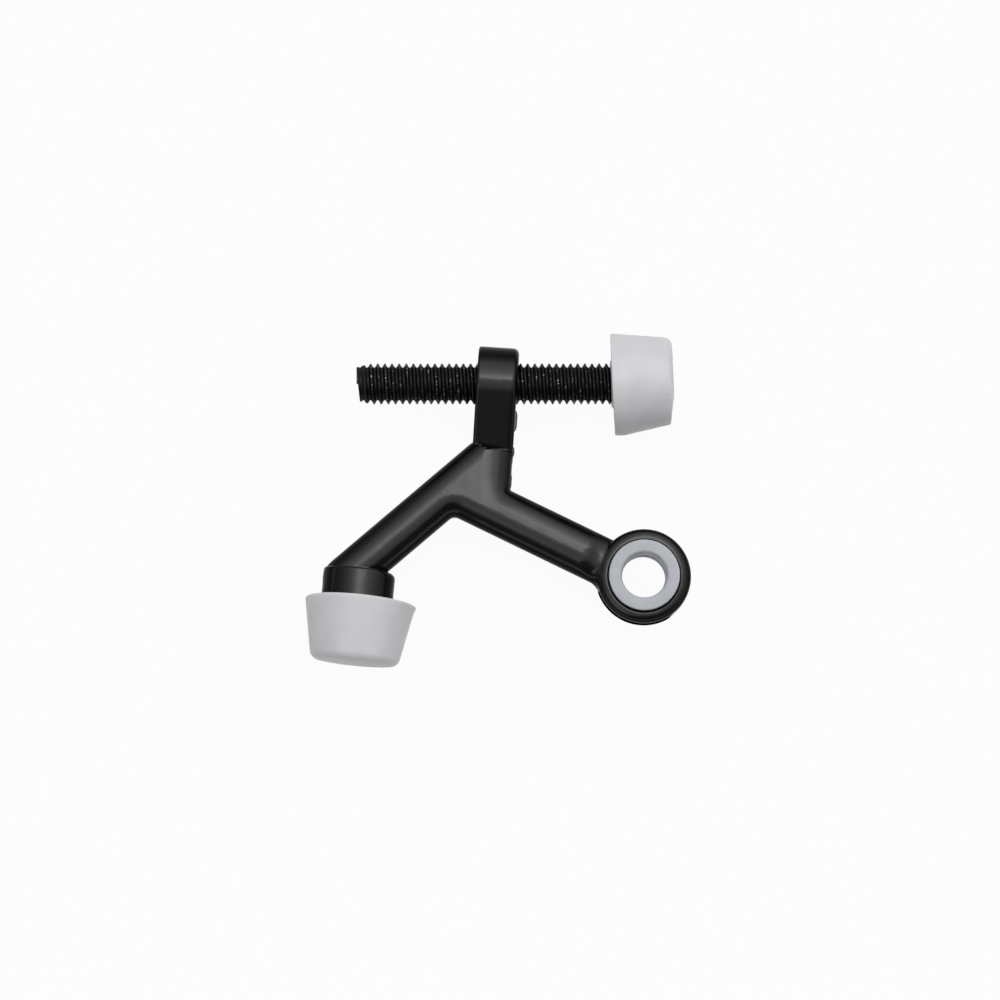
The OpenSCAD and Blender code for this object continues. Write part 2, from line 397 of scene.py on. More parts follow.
class Shader(Nodes):
    """Node tree of one material, with what the finishes share."""

    def __init__(self, name: str) -> None:
        """Starts a material with its Principled shader."""
        self.material = bpy.data.materials.new(name)
        self.material.use_nodes = True
        super().__init__(self.material.node_tree)
        self.surface = self.tree.nodes["Principled BSDF"]

    def set(self, **values: object) -> None:
        """Sets or links inputs of the shader, named with underscores for spaces."""
        for key, value in values.items():
            self.feed(self.surface.inputs[key.replace("_", " ")], value)

    def place(self) -> Socket:
        """Object coordinates, in metres."""
        return self.add("ShaderNodeTexCoord").outputs["Object"]

    def facing(self) -> Socket:
        """How far the surface turns away from the eye, from 0 to 1."""
        return self.add("ShaderNodeLayerWeight", {"Blend": 0.5}).outputs["Facing"]

    def noise(
        self, grain: float, detail: float = 3, rough: float = 0.5, vector: Socket | None = None
    ) -> Socket:
        """Noise whose grains are about that size.

        Args:
            grain: Size of a grain.
            detail: Octaves of finer noise.
            rough: Strength of the finer octaves.
            vector: Coordinates, if not the object's own.

        Returns:
            The noise's value, from 0 to 1.
        """
        inputs = {"Scale": 1 / (grain * MM), "Detail": detail, "Roughness": rough}
        inputs["Vector"] = vector or self.place()
        return self.add("ShaderNodeTexNoise", inputs).outputs["Fac"]

    def ramp(self, value: Socket, ends: Point, span: Point = (0.3, 0.7)) -> Socket:
        """Value that goes from one of the ends to the other over the span."""
        inputs = {"Value": value, "From Min": span[0], "From Max": span[1]}
        inputs |= {"To Min": ends[0], "To Max": ends[1]}
        return self.add("ShaderNodeMapRange", inputs).outputs["Result"]

    def mix(self, share: Socket, a: Colour, b: Colour | Socket) -> Socket:
        """Mixes two colours.

        Args:
            share: How much of the second colour there is.
            a: The first colour.
            b: The second colour.

        Returns:
            The mixed colour.
        """
        node = self.add("ShaderNodeMix", {"Factor": share}, data_type="RGBA")
        for key, value in (("A", a), ("B", b)):
            socket = next(s for s in node.inputs if s.name == key and s.type == "RGBA")
            self.feed(socket, (*value, 1) if isinstance(value, tuple) else value)
        return next(s for s in node.outputs if s.type == "RGBA")

    def bump(self, height: Socket, depth: float, under: Socket | None = None) -> Socket:
        """Bump of the surface.

        Args:
            height: Its height, from 0 to 1.
            depth: The depth that a height of 1 stands for.
            under: Another bump that it lies on.

        Returns:
            The bumped normal.
        """
        inputs = {"Height": height, "Distance": depth * MM, "Strength": 1.0}
        if under:
            inputs["Normal"] = under
        return self.add("ShaderNodeBump", inputs).outputs["Normal"]


# Finishes


@dataclass(frozen=True)
class SatinCoat:
    """Satin black coat on the casting, which mirrors less where it turns away."""

    dark: Colour = (0.0031, 0.0029, 0.0034)
    pale: Colour = (0.0050, 0.0048, 0.0055)
    rough: Point = (0.15, 0.2)
    gloss: Point = (0.46, 0.02)
    gloss_span: Point = (0.2, 0.36)
    patch: float = 7.0
    grain: float = 0.55
    grain_depth: float = 0.012
    wave: float = 3.5
    wave_depth: float = 0.03

    def material(self) -> Material:
        """The finish as a material."""
        s = Shader("satin_black_coat")
        waves = s.bump(s.noise(self.wave, 1), self.wave_depth)
        s.set(
            Specular_IOR_Level=s.ramp(s.facing(), self.gloss, self.gloss_span),
            Base_Color=s.mix(s.ramp(s.noise(self.patch), (0, 1)), self.dark, self.pale),
            Roughness=s.ramp(s.noise(self.patch / 2), self.rough),
            Normal=s.bump(s.noise(self.grain, 2), self.grain_depth, waves),
        )
        return s.material


@dataclass(frozen=True)
class BlackOxide:
    """Blackened steel, worn brighter on the thread's crests."""

    axis_y: float
    dark: Colour = (0.004, 0.004, 0.0045)
    crest: Colour = (0.03, 0.035, 0.033)
    glint: Colour = (0.5, 0.48, 0.46)
    gloss: Point = (0.22, 0.02)
    gloss_span: Point = (0.25, 0.6)
    worn_span: Point = (3.8, 4.04)
    worn_metal: float = 0.8
    rough: Point = (0.28, 0.5)
    rough_grain: float = 0.5
    patch: float = 1.6
    patch_span: Point = (0.4, 0.62)
    spot: float = 0.42
    spot_span: Point = (0.6, 0.68)
    grain: float = 0.22
    grain_depth: float = 0.012

    def material(self) -> Material:
        """The finish as a material."""
        s = Shader("black_oxide_steel")
        parts = s.add("ShaderNodeSeparateXYZ", {"Vector": s.place()}).outputs
        off = s.math("SUBTRACT", parts["Y"], self.axis_y * MM)
        flat = s.add("ShaderNodeCombineXYZ", {"X": off, "Y": parts["Z"]}).outputs[0]
        radius = s.add("ShaderNodeVectorMath", {0: flat}, operation="LENGTH").outputs["Value"]
        worn = s.ramp(radius, (0, 1), tuple(r * MM for r in self.worn_span))
        patch = s.ramp(s.noise(self.patch, 3, 0.6), (0, 1), self.patch_span)
        spots = s.ramp(s.noise(self.spot, 2), (0, 1), self.spot_span)
        share = s.math("MULTIPLY", worn, patch)
        s.set(
            Base_Color=s.mix(share, self.dark, s.mix(spots, self.crest, self.glint)),
            Metallic=s.ramp(share, (0, self.worn_metal), (0, 1)),
            Specular_IOR_Level=s.ramp(s.facing(), self.gloss, self.gloss_span),
            Roughness=s.ramp(s.noise(self.rough_grain), self.rough),
            Normal=s.bump(s.noise(self.grain, 2), self.grain_depth),
        )
        return s.material


@dataclass(frozen=True)
class Nylon:
    """Pale grey moulded nylon of the bushings."""

    pale: Colour = (0.475, 0.495, 0.52)
    dull: Colour = (0.435, 0.455, 0.485)
    patch: float = 2.5
    rough: Point = (0.42, 0.55)
    rough_grain: float = 1.2
    glow: float = 0.15
    glow_depth: float = 1.2
    grain: float = 0.35
    grain_depth: float = 0.01

    def material(self) -> Material:
        """The finish as a material."""
        s = Shader("grey_nylon")
        s.set(
            Base_Color=s.mix(s.ramp(s.noise(self.patch, 4), (0, 1)), self.pale, self.dull),
            Roughness=s.ramp(s.noise(self.rough_grain), self.rough),
            Subsurface_Weight=self.glow,
            Subsurface_Radius=(self.glow_depth * MM,) * 3,
            Subsurface_Scale=1.0,
            Normal=s.bump(s.noise(self.grain, 3), self.grain_depth),
        )
        return s.material


@dataclass(frozen=True)
class Rubber:
    """Soft pale grey rubber of the bumpers, with faint streaks along their sides."""

    pale: Colour = (0.685, 0.69, 0.71)
    dull: Colour = (0.64, 0.645, 0.665)
    patch: float = 5.0
    rough: Point = (0.36, 0.48)
    rough_grain: float = 2.0
    glow: float = 0.35
    glow_depth: float = 3.0
    streak: float = 1.4
    streak_squeeze: float = 0.12
    streak_span: Point = (0.35, 0.75)
    streak_depth: float = 0.03
    wave: float = 4.0
    wave_depth: float = 0.03
    grain: float = 0.3
    grain_depth: float = 0.006

    def material(self) -> Material:
        """The finish as a material."""
        s = Shader("soft_grey_rubber")
        marks = s.add("ShaderNodeTexCoord").outputs["UV"]
        parts = s.add("ShaderNodeSeparateXYZ", {"Vector": marks}).outputs
        up = s.math("MULTIPLY", parts["Y"], self.streak_squeeze)
        lines = s.add("ShaderNodeCombineXYZ", {"X": parts["X"], "Y": up}).outputs[0]
        streaks = s.ramp(s.noise(self.streak, 2, vector=lines), (0, 1), self.streak_span)
        streaks = s.bump(streaks, self.streak_depth)
        waves = s.bump(s.noise(self.wave, 1), self.wave_depth, streaks)
        s.set(
            Base_Color=s.mix(s.ramp(s.noise(self.patch), (0, 1)), self.pale, self.dull),
            Roughness=s.ramp(s.noise(self.rough_grain), self.rough),
            Subsurface_Weight=self.glow,
            Subsurface_Radius=(self.glow_depth * MM,) * 3,
            Subsurface_Scale=1.0,
            Normal=s.bump(s.noise(self.grain, 3), self.grain_depth, waves),
        )
        return s.material


# The casting


@dataclass(frozen=True)
class Flash:
    """Strip of flash that a casting's parting line leaves on an edge in the middle plane."""

    half: float
    root: float
    sink: float = 0.1
    least: float = 0.03
    steps: int = 8

    def build(self, path: Array, out: Array, heights: Array) -> tuple[Array, Faces, Array]:
        """Builds the strip with a squarish section, closed at its ends.

        Args:
            path: Points of the edge in the plane, one a row.
            out: Outward direction at each.
            heights: How far the flash stands out at each.

        Returns:
            Points, faces and outward directions of the points.
        """
        points, faces, normals = [], [], []
        for p, o, h in zip(path - out * self.sink, out, heights):
            points.append((*(p - o * self.root), -self.half))
            normals.append((*-o, 0))
            for a in np.linspace(-math.pi / 2, math.pi / 2, self.steps + 1):
                c, e = abs(math.cos(a)), math.sin(a)
                over, side = c**0.5, math.copysign(abs(e) ** 0.5, e)
                points.append((*(p + o * h * over), self.half * side))
                normal = np.array([*(o * over**3 / max(h, self.least)), side * abs(e) / self.half])
                normals.append(normal / np.linalg.norm(normal))
            points.append((*(p - o * self.root), self.half))
            normals.append((*-o, 0))
        row = self.steps + 3
        for i in range(len(path) - 1):
            for j in range(row):
                k = (j + 1) % row
                faces.append([i * row + j, i * row + k, (i + 1) * row + k, (i + 1) * row + j])
        last = (len(path) - 1) * row
        faces += [list(range(row))[::-1], list(range(last, last + row))]
        return np.array(points), faces, np.array(normals)


@dataclass
class Casting:
    """One-piece casting: ring, two arms, neck with its collar, and the boss for a bumper.

    Places along the neck are measured from the collar's middle, across it to the right.
    """

    ring_r: float = 9.25
    ring_half: float = 3.9
    ring_edge: float = 1.7
    ring_edge_right: float = 2.3
    ring_edge_inner: float = 1.9
    ring_fillet: float = 0.3
    ring_fillet_low: float = 1.4
    ring_fillet_span: Point = (2.0, 4.2)
    groove_r: float = 6.83
    groove_half: float = 0.47
    groove_depth: float = 0.32
    groove_down: float = 0.12
    seat_r: float = 5.38
    arm_r: float = 4.4
    arm_extra: float = 0.35
    arm_len: float = 41.6
    arm_angle: float = 26.0
    arm_drop: float = 0.8
    arm_stop: float = 2.0
    dip_half: float = 3.45
    dip_span: Point = (9.0, 13.0)
    jamb_len: float = 27.4
    jamb_angle: float = 40.5
    crotch_r: float = 1.6
    notch_left: float = 0.9
    notch_right: float = 0.5
    rod_rise: float = 38.4
    rod_r: float = 4.12
    collar_back: float = 28.8
    collar_r: float = 7.2
    collar_width: float = 16.0
    collar_edge_left: float = 0.5
    collar_edge_right: float = 1.2
    neck_half: float = 4.0
    neck_lean: float = 3.7
    neck_fillet: float = 0.25
    ramp_len: float = 15.0
    ramp_foot: float = 1.27
    crease: float = 13.5
    crease_edge: float = 0.2
    crease_lift: float = 0.5
    crease_lift_from: float = 1.5
    shoulder_half: float = 4.45
    shoulder_edge: float = 0.6
    shoulder_from: float = -1.7
    shoulder_slope: float = 14.0
    shoulder_side_from: float = 1.4
    shoulder_side_slope: float = 24.0
    shoulder_span: Point = (-25.0, -19.0)
    boss_r: float = 7.05
    boss_len: float = 8.8
    boss_rise: float = 1.85
    boss_lean: float = 5.6
    boss_edge: float = 0.45
    boss_edge_right: float = 1.3
    boss_edge_span: Point = (3.5, 6.0)
    boss_fillet: float = 0.35
    corner_steps: int = 8
    rim_flash: Flash = Flash(half=0.3, root=0.4)
    rim_span: Point = (188.0, 312.0)
    rim_points: int = 90
    rim_height: float = 0.27
    rim_fade: float = 12.0
    neck_flash: Flash = Flash(half=0.35, root=0.5)
    neck_span: Point = (-2.5, -22.5)
    neck_points: int = 120
    neck_bumps: tuple = ((-5.1, -9.3, 0.4), (-12.3, -14.5, 0.28), (-17.6, -21.0, 0.1))
    bump_fade: float = 0.9
    bump_power: float = 0.6
    grid: float = 0.27
    outline: Array = field(init=False, repr=False)

    def __post_init__(self) -> None:
        """Works out the corner points and the outline of the arms."""
        self.arm_dir, self.jamb_dir = 180 - self.arm_angle, 180 + self.jamb_angle
        self.neck_dir, self.boss_dir = 90 - self.neck_lean, 270 - self.boss_lean
        arm_down, jamb_down = along(self.arm_dir + 90), along(self.jamb_dir + 90)
        foot = arm_down * self.arm_drop
        elbow = foot + along(self.arm_dir) * self.arm_len
        jamb_end = elbow + along(self.jamb_dir) * self.jamb_len
        self.collar_mid = np.array([-self.collar_back, self.rod_rise])
        self.boss_side = along(self.boss_dir + 90)
        self.boss_top = jamb_end + self.boss_side * (self.boss_r - self.arm_r)
        self.boss_top = self.boss_top - along(self.boss_dir) * self.boss_rise
        half = self.arm_r + self.arm_extra
        top, low = foot - arm_down * half, foot + arm_down * half
        over, under = elbow - jamb_down * self.arm_r, elbow + jamb_down * self.arm_r
        side = along(-self.neck_lean) * self.neck_half
        right, left = self.collar_mid + side, self.collar_mid - side
        tip = jamb_end + along(self.jamb_dir) * self.arm_r
        stop = along(self.arm_dir) * self.arm_stop
        neck_top = -along(self.neck_dir) * self.collar_r
        self.outline = rounded_outline(
            [
                (top + stop, self.arm_r),
                (crossing(top, self.arm_dir, right, self.neck_dir), self.notch_right),
                (right + neck_top, self.notch_right),
                (left + neck_top, self.notch_right),
                (crossing(over, self.jamb_dir, left, self.neck_dir), self.notch_left),
                (tip - jamb_down * self.arm_r, self.arm_r),
                (tip + jamb_down * self.arm_r, self.arm_r),
                (crossing(low, self.arm_dir, under, self.jamb_dir), self.crotch_r),
                (low + stop, self.arm_r),
            ],
            self.corner_steps,
        )

    def arms(self, places: Places) -> Array:
        """Both arms, thinner where they reach the ring, and the flat web between them.

        Args:
            places: Coordinates x, y and z of points, and so in the methods below.

        Returns:
            The signed distances.
        """
        x, y, z = places
        thin = (self.arm_r / self.dip_half - 1) * (1 - ease(np.hypot(x, y), *self.dip_span))
        return inflate(outline_distance(self.outline, x, y), z * (1 + thin), self.arm_r)

    def neck(self, places: Places, body: Array) -> Array:
        """Slopes the web's right shoulder, and adds a ramp from behind the web up to the collar.

        Args:
            places: Coordinates of the points.
            body: Distances to the arms and the web.

        Returns:
            The signed distances to all of it.
        """
        x, y, z = places
        t = measure(x, y, self.collar_mid, self.neck_dir)
        s = measure(x, y, self.collar_mid, -self.neck_lean)
        slopes = (self.shoulder_slope, self.shoulder_side_slope)
        gentle, steep = (math.tan(math.radians(a)) for a in slopes)
        fall = np.maximum(s - self.shoulder_from, 0) * gentle
        fall = fall + np.maximum(s - self.shoulder_side_from, 0) * (steep - gentle)
        fall = fall * ease(t, *self.shoulder_span)
        body = meet(body, np.abs(z) - self.shoulder_half + fall, self.shoulder_edge)
        lift = np.maximum(-s - self.crease_lift_from, 0) * self.crease_lift
        body = meet(body, t + self.crease - lift, self.crease_edge)
        flat_z = z * (2 * self.collar_r / self.collar_width)
        wedge = taper(t + self.ramp_len, flat_z, self.ramp_len, self.ramp_foot, self.collar_r)
        wedge = meet(wedge, s - self.neck_half, self.collar_edge_right)
        wedge = meet(wedge, -s - self.neck_half, self.collar_edge_left)
        return blend(body, wedge, self.neck_fillet)

    def ring(self, places: Places) -> Array:
        """Ring, its edges rounder at the sides, with a fine groove round each bushing.

        Args:
            places: Coordinates of the points.

        Returns:
            The signed distances.
        """
        x, y, z = places
        r = np.hypot(x, y)
        inner = np.clip(measure(x, y, np.zeros(2), self.arm_dir) / np.maximum(r, TINY), 0, 1)
        right = np.clip(x / np.maximum(r, TINY), 0, 1)
        edge = self.ring_edge + (self.ring_edge_inner - self.ring_edge) * inner**2
        edge = edge + (self.ring_edge_right - self.ring_edge) * right**2
        off = np.abs(np.hypot(x, y + self.groove_down) - self.groove_r) / self.groove_half
        groove = self.groove_depth * (1 + np.cos(math.pi * np.minimum(off, 1))) / 2
        return meet(r - self.ring_r, np.abs(z) - self.ring_half + groove, edge)

    def boss(self, places: Places) -> Array:
        """Round boss, its top edge rounder on the side away from the arm.

        Args:
            places: Coordinates of the points.

        Returns:
            The signed distances.
        """
        x, y, z = places
        t = measure(x, y, self.boss_top, self.boss_dir)
        s = measure(x, y, self.boss_top, self.boss_dir + 90)
        right = ease(s, *self.boss_edge_span)
        edge = self.boss_edge + (self.boss_edge_right - self.boss_edge) * right
        body = meet(np.hypot(s, z) - self.boss_r, -t, edge)
        return np.maximum(body, t - self.boss_len)

    def field(self, places: Places) -> Array:
        """Distances to the whole casting's surface.

        Args:
            places: Coordinates of the points.

        Returns:
            The signed distances.
        """
        x, y, z = places
        body = self.neck(places, self.arms(places))
        low = ease(measure(x, y, np.zeros(2), self.arm_dir + 90), *self.ring_fillet_span)
        fillet = self.ring_fillet + (self.ring_fillet_low - self.ring_fillet) * low
        body = blend(body, self.ring(places), fillet)
        body = blend(body, self.boss(places), self.boss_fillet)
        body = np.maximum(body, self.seat_r - np.hypot(x, y))
        return np.maximum(body, self.rod_r - np.hypot(y - self.rod_rise, z))

    def slope(self, points: Array) -> tuple[Array, Array]:
        """Outward directions and distances at points near the surface.

        Args:
            points: The points, one a row.

        Returns:
            The directions, one a row, and the signed distances.
        """
        step = 0.02
        columns = []
        for shift in np.eye(3) * step:
            columns.append(self.field((points + shift).T) - self.field((points - shift).T))
        slope = np.stack(columns, 1)
        length = np.linalg.norm(slope, axis=1, keepdims=True)
        return slope / np.maximum(length, TINY), self.field(points.T)

    def flash(self) -> list[tuple[Array, Faces, Array]]:
        """Flash on the parting line: a thin rim under the ring, and bumps beside the neck."""
        start, end = self.rim_span
        angles = np.linspace(start, end, self.rim_points)
        ways = np.array([along(a) for a in angles])
        share = np.clip(np.minimum(angles - start, end - angles) / self.rim_fade, 0, 1)
        height = (self.rim_height + self.rim_flash.sink) * share
        rim = self.rim_flash.build(ways * self.ring_r, ways, height)
        down = np.linspace(*self.neck_span, self.neck_points)
        out = along(-self.neck_lean)
        path = self.collar_mid + np.outer(down, along(self.neck_dir)) + out * self.neck_half
        height = np.zeros(len(down))
        for high, low, bump in self.neck_bumps:
            share = np.clip(np.minimum(high - down, down - low) / self.bump_fade, 0, 1)
            height += bump * share**self.bump_power
        height = height + np.minimum(height, self.neck_flash.sink) + self.neck_flash.least
        return [rim, self.neck_flash.build(path, np.tile(out, (len(down), 1)), height)]

    def build(self, material: Material) -> Piece:
        """Meshes the casting's surface and puts its points exactly on it.

        Args:
            material: The casting's finish.

        Returns:
            The piece.
        """
        low, high = (np.array(c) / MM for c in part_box("cast_body"))
        margin = 3 * self.grid
        axes = [np.arange(a - margin, b + margin, self.grid) for a, b in zip(low, high)]
        values = self.field(np.ix_(*axes))
        points, quads = surface_net(values, np.array([a[0] for a in axes]), self.grid)
        for _ in range(3):
            slope, value = self.slope(points)
            points = points - slope * np.clip(value, -self.grid, self.grid)[:, None]
        normals, faces = self.slope(points)[0], quads.tolist()
        for more, strips, directions in self.flash():
            faces += [[v + len(points) for v in f] for f in strips]
            points, normals = np.vstack([points, more]), np.vstack([normals, directions])
        piece = make_object("casting", points, faces, material)
        piece.data.normals_split_custom_set_from_vertices(normals)
        return piece


# The other pieces


@dataclass
class Bushing:
    """Flanged bushing, one on each side of the ring."""

    ring_half: float
    bore_r: float = 4.25
    sleeve_r: float = 5.4
    sleeve_end: float = 0.1
    flange_r: float = 6.93
    flange_t: float = 1.0
    edge_r: float = 0.25
    mouth_edge_r: float = 0.6
    draft: float = 0.16
    segments: int = 128

    def build(self, name: str, side: int, material: Material) -> Piece:
        """Turns the bushing.

        Args:
            name: Name of the piece.
            side: 1 above the ring, -1 below it.
            material: Its finish.

        Returns:
            The piece.
        """
        face, e = self.ring_half + self.flange_t, self.edge_r
        mouth_r, soft = self.bore_r + self.draft, self.mouth_edge_r
        profile = [(self.bore_r, self.sleeve_end), (self.sleeve_r, self.sleeve_end)]
        profile += [(self.sleeve_r, self.ring_half)]
        profile += arc((self.flange_r - e / 2, self.ring_half + e / 2), e / 2, -90, 0, 3)
        profile += arc((self.flange_r - e, face - e), e, 0, 90, 5)
        profile += arc((mouth_r + soft, face - soft), soft, 90, 180, 9)
        points, faces = lathe(profile, self.segments)
        if side < 0:
            points, faces = points * [1, 1, -1], [f[::-1] for f in faces]
        return make_object(name, points, faces, material)


@dataclass
class Rod:
    """Screw rod with a true right-hand helical thread."""

    rise: float
    start: float = -56.6
    length: float = 59.5
    crest_r: float = 4.05
    depth: float = 0.764
    pitch: float = 1.411
    crest_share: float = 1 / 8
    root_share: float = 1 / 4
    lead_in: float = 0.27
    slant: float = 0.7
    rows_a_turn: int = 16
    segments: int = 48
    start_turn: float = 0.04

    def build(self, material: Material) -> Piece:
        """Grows the thread with Geometry Nodes and makes it a plain mesh.

        Args:
            material: The rod's finish.

        Returns:
            The piece.
        """
        tree = ThreadTree(self.rows_a_turn).tree
        holder = link_object("thread_maker", bpy.data.meshes.new("thread_maker"))
        modifier = holder.modifiers.new("thread", "NODES")
        modifier.node_group = tree
        values = {
            "Length": self.length * MM,
            "Crest radius": self.crest_r * MM,
            "Depth": self.depth * MM,
            "Pitch": self.pitch * MM,
            "Crest share": self.crest_share,
            "Root share": self.root_share,
            "Lead-in slope": self.lead_in,
            "End slant": self.slant * MM,
            "Segments": self.segments,
            "Start turn": self.start_turn,
            "Material": material,
        }
        for item in tree.interface.items_tree:
            if item.in_out == "INPUT" and item.name in values:
                modifier[item.identifier] = values[item.name]
        bpy.context.view_layer.update()
        graph = bpy.context.evaluated_depsgraph_get()
        mesh = bpy.data.meshes.new_from_object(holder.evaluated_get(graph))
        holder.modifiers.remove(modifier)
        bpy.data.objects.remove(holder)
        mesh.transform(Matrix.Translation(Vector((self.start, self.rise, 0)) * MM))
        return link_object("screw_rod", mesh)


class ThreadTree(Nodes):
    """Geometry Nodes tree that winds a grid into a threaded rod along X.

    Rows of the grid follow the thread, so its crests and roots are true helices.
    """

    def __init__(self, rows: int) -> None:
        """Builds the tree, with that many rows to each turn of thread."""
        super().__init__(bpy.data.node_groups.new("thread", "GeometryNodeTree"))
        face = self.tree.interface
        face.new_socket("Geometry", in_out="OUTPUT", socket_type="NodeSocketGeometry")
        floats = ("Length", "Crest radius", "Depth", "Pitch", "Crest share", "Root share")
        for name in (*floats, "Lead-in slope", "End slant", "Start turn"):
            face.new_socket(name, in_out="INPUT", socket_type="NodeSocketFloat")
        face.new_socket("Segments", in_out="INPUT", socket_type="NodeSocketInt")
        face.new_socket("Material", in_out="INPUT", socket_type="NodeSocketMaterial")
        self.sockets = {s.name: s for s in self.add("NodeGroupInput").outputs}
        turns = self.math("DIVIDE", self.sockets["Length"], self.sockets["Pitch"])
        self.turns = self.math("CEIL", self.math("ADD", turns, 3.0))
        self.finish(self.wind(self.sheet(rows)))

    def sheet(self, rows: int) -> Socket:
        """Flat grid that will be wound, with a row of vertices for each step of the turn.

        Args:
            rows: Rows to each turn of thread.

        Returns:
            The grid.
        """
        sizes = {
            "Size X": self.turns,
            "Size Y": 1.0,
            "Vertices X": self.math("ADD", self.math("MULTIPLY", self.turns, float(rows)), 1.0),
            "Vertices Y": self.math("ADD", self.sockets["Segments"], 1.0),
        }
        return self.add("GeometryNodeMeshGrid", sizes).outputs["Mesh"]

    def wind(self, sheet: Socket) -> Socket:
        """Winds the grid into the rod.

        Args:
            sheet: The grid.

        Returns:
            The rod's surface.
        """
        s, m = self.sockets, self.math
        position = self.add("GeometryNodeInputPosition").outputs[0]
        place = self.add("ShaderNodeSeparateXYZ", {0: position}).outputs
        row = m("ADD", place["X"], m("MULTIPLY", self.turns, 0.5))
        turn = m("ADD", place["Y"], 0.5)
        angle = m("MULTIPLY", m("ADD", turn, s["Start turn"]), 2 * math.pi)
        raw = m("MULTIPLY", m("ADD", m("SUBTRACT", row, 2.0), turn), s["Pitch"])
        # Height of the thread over its root: 1 on the crest's flat, 0 on the root's
        phase = m("PINGPONG", row, 0.5)
        flank = m("SUBTRACT", 0.5, m("MULTIPLY", m("ADD", s["Crest share"], s["Root share"]), 0.5))
        fall = m("DIVIDE", m("SUBTRACT", phase, m("MULTIPLY", s["Crest share"], 0.5)), flank)
        fall = m("MINIMUM", m("MAXIMUM", fall, 0.0), 1.0)
        thread = m("SUBTRACT", s["Crest radius"], m("MULTIPLY", s["Depth"], fall))
        # The far end is cut aslant, and both ends lead in
        core = m("SUBTRACT", s["Crest radius"], s["Depth"])
        lean = m("MULTIPLY", m("SUBTRACT", 1.0, m("COSINE", angle)), 0.5)
        x = m("MINIMUM", m("MAXIMUM", raw, m("MULTIPLY", lean, s["End slant"])), s["Length"])
        to_end = m("MINIMUM", x, m("SUBTRACT", s["Length"], x))
        limit = m("ADD", m("MULTIPLY", to_end, s["Lead-in slope"]), core)
        past = m("DIVIDE", m("ABSOLUTE", m("SUBTRACT", raw, x)), s["Pitch"])
        cap = m("MAXIMUM", m("SUBTRACT", 1.0, past), 0.0)
        radius = m("MULTIPLY", m("MINIMUM", thread, limit), cap)
        y, z = (m("MULTIPLY", radius, m(kind, angle)) for kind in ("COSINE", "SINE"))
        point = self.add("ShaderNodeCombineXYZ", {"X": x, "Y": y, "Z": z}).outputs[0]
        shape = {"Geometry": sheet, "Position": point}
        return self.add("GeometryNodeSetPosition", shape).outputs[0]

    def finish(self, shape: Socket) -> None:
        """Welds and smooths the rod, gives it its material and ends the tree."""
        weld = {"Geometry": shape, "Distance": TINY}
        shape = self.add("GeometryNodeMergeByDistance", weld).outputs[0]
        shape = self.add("GeometryNodeSetShadeSmooth", {"Geometry": shape}).outputs[0]
        shape = self.add("GeometryNodeRealizeInstances", {"Geometry": shape}).outputs[0]
        dress = {"Geometry": shape, "Material": self.sockets["Material"]}
        shape = self.add("GeometryNodeSetMaterial", dress).outputs[0]
        self.add("NodeGroupOutput", {0: shape})


